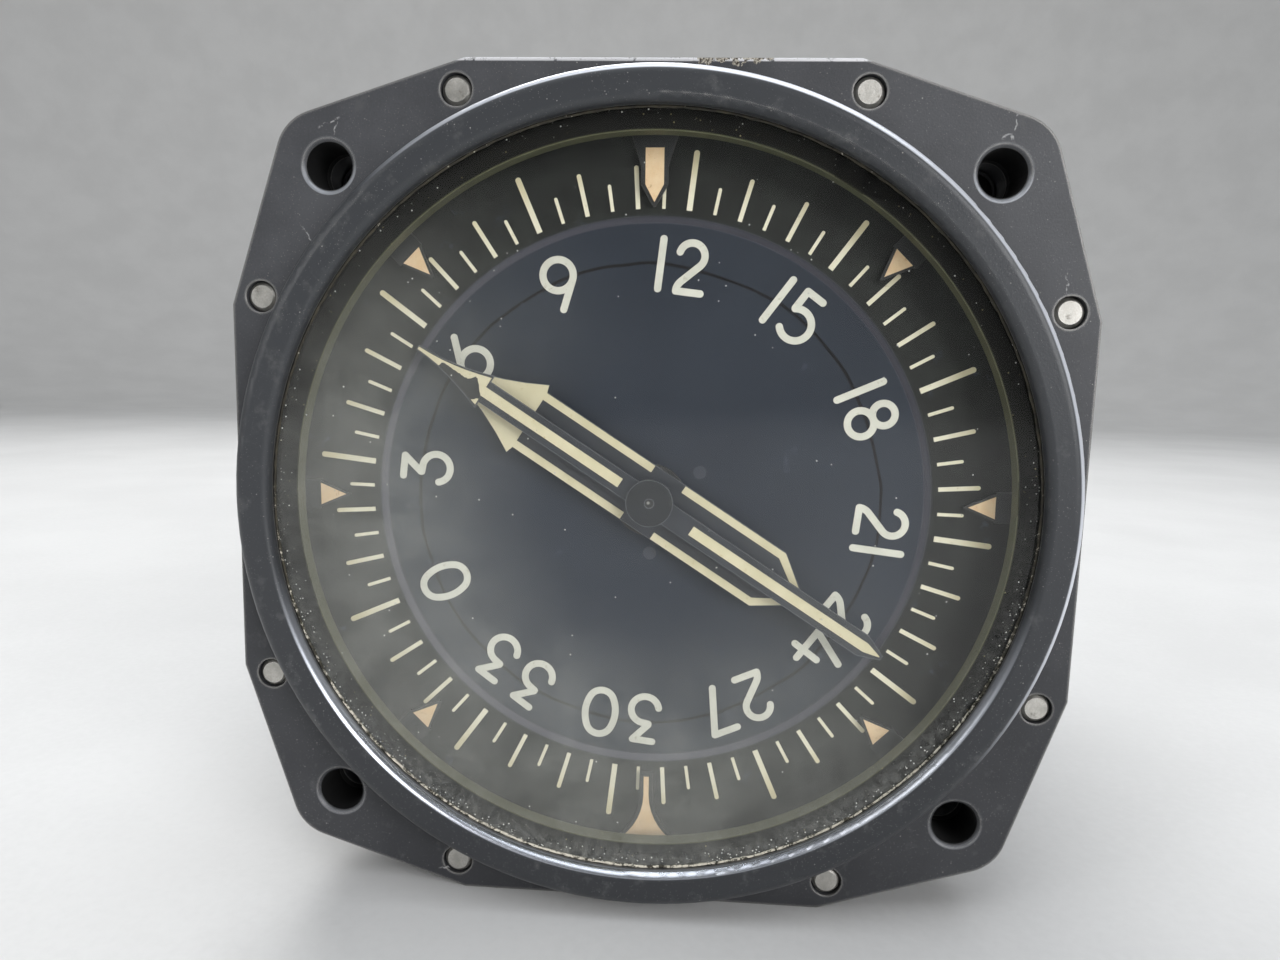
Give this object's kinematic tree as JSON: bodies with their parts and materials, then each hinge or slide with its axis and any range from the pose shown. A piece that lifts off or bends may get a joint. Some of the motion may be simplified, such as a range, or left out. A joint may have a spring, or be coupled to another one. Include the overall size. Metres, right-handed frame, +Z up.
{
  "type": "radio magnetic indicator",
  "caption": "Panel indicator with a turning compass card, a single-bar and a double-bar pointer behind glass, a square flange, a round case and a rear connector.",
  "frame": {"origin": "centre of the four mounting holes, on the front face of the flange", "axes": "+X to the viewer's right, +Y away from the viewer into the instrument, +Z up"},
  "size_m": [0.0826, 0.1195, 0.0826],
  "materials": {
    "bezel_paint": "satin charcoal",
    "case_paint": "satin black",
    "black_paint": "matte black",
    "card_paint": "matte blue-grey",
    "tick_paint": "matte pale yellow",
    "number_paint": "matte off-white",
    "pointer_paint": "matte cream",
    "index_paint": "matte peach",
    "window_glass": "clear, dusty",
    "seal_rubber": "matte",
    "screw_steel": "turned",
    "can_steel": "satin",
    "frame_aluminium": "milled",
    "gear_brass": "machined",
    "bush_bronze": "sintered",
    "winding_copper": "varnished",
    "board_laminate": "satin",
    "transformer_case": "satin",
    "capacitor_sleeve": "gloss",
    "wire_sleeve": "satin",
    "connector_metal": "olive plated",
    "insert_plastic": "matte",
    "contact_gold": "plated"
  },
  "bodies": {
    "instrument": {"bezel": "bezel_paint", "glass_seal": "seal_rubber", "cover_glass": "window_glass", "glass_ring": "black_paint", "index_ring": "black_paint", "index_marks": "index_paint", "clamp_ring": "black_paint", "case_gasket": "seal_rubber", "bezel_screws": "screw_steel", "case_can": "case_paint", "front_plate": "frame_aluminium", "gear_plate": "frame_aluminium", "rear_plate": "frame_aluminium", "gear_pillars": "frame_aluminium", "rear_pillars": "frame_aluminium", "frame_screws": "screw_steel", "frame_bushes": "bush_bronze", "single_synchro_can": "can_steel", "double_synchro_can": "can_steel", "card_synchro_can": "can_steel", "servo_motor_can": "can_steel", "stator_windings": "winding_copper", "synchro_clamps": "gear_brass", "clamp_screws": "screw_steel", "amp_board": "board_laminate", "board_transformer": "transformer_case", "board_capacitors": "capacitor_sleeve", "board_transistors": "can_steel", "wiring": "wire_sleeve", "rear_cover": "case_paint", "cover_seal": "seal_rubber", "cover_screws": "screw_steel", "connector_shell": "connector_metal", "connector_insert": "insert_plastic", "connector_contacts": "contact_gold", "connector_screws": "screw_steel"},
    "compass_card": {"card_disc": "card_paint", "card_ticks": "tick_paint", "card_numbers": "number_paint", "card_sleeve": "gear_brass", "card_gear": "gear_brass", "card_screws": "screw_steel"},
    "double_bar_pointer": {"double_pointer": "black_paint", "double_paint": "pointer_paint", "double_shaft": "gear_brass", "double_gear": "gear_brass"},
    "single_bar_pointer": {"single_pointer": "black_paint", "single_paint": "pointer_paint", "single_boss": "black_paint", "single_shaft": "screw_steel", "single_rotor": "can_steel"},
    "double_drive": {"double_drive_gear": "gear_brass", "double_drive_rotor": "can_steel"},
    "card_drive": {"card_drive_gear": "gear_brass", "card_drive_rotor": "can_steel"},
    "idler": {"idler_gears": "gear_brass", "idler_shaft": "screw_steel"},
    "motor": {"motor_pinion": "screw_steel", "motor_rotor": "can_steel"}
  },
  "joints": [
    {"name": "card_spin", "type": "hinge", "parent": "instrument", "child": "compass_card", "pos_m": [0, 0.0103, 0], "axis": [0, 1, 0], "continuous": true},
    {"name": "double_pointer_spin", "type": "hinge", "parent": "instrument", "child": "double_bar_pointer", "pos_m": [0, 0.0235, 0], "axis": [0, 1, 0], "continuous": true},
    {"name": "single_pointer_spin", "type": "hinge", "parent": "instrument", "child": "single_bar_pointer", "pos_m": [0, 0.026, 0], "axis": [0, 1, 0], "continuous": true},
    {"name": "double_drive_spin", "type": "hinge", "parent": "instrument", "child": "double_drive", "pos_m": [0.022, 0.026, 0], "axis": [0, 1, 0], "continuous": true},
    {"name": "card_drive_spin", "type": "hinge", "parent": "instrument", "child": "card_drive", "pos_m": [-0.022, 0.026, 0], "axis": [0, 1, 0], "continuous": true},
    {"name": "idler_spin", "type": "hinge", "parent": "instrument", "child": "idler", "pos_m": [0.00779, 0.0103, 0.01223], "axis": [0, 1, 0], "continuous": true},
    {"name": "motor_spin", "type": "hinge", "parent": "instrument", "child": "motor", "pos_m": [0, 0.026, 0.022], "axis": [0, 1, 0], "continuous": true}
  ],
  "couplings": [
    {"joint": "double_drive_spin", "follows": "double_pointer_spin", "ratio": -1},
    {"joint": "card_drive_spin", "follows": "card_spin", "ratio": -1},
    {"joint": "idler_spin", "follows": "card_spin", "ratio": -3.1429},
    {"joint": "motor_spin", "follows": "card_spin", "ratio": 8.0816}
  ]
}
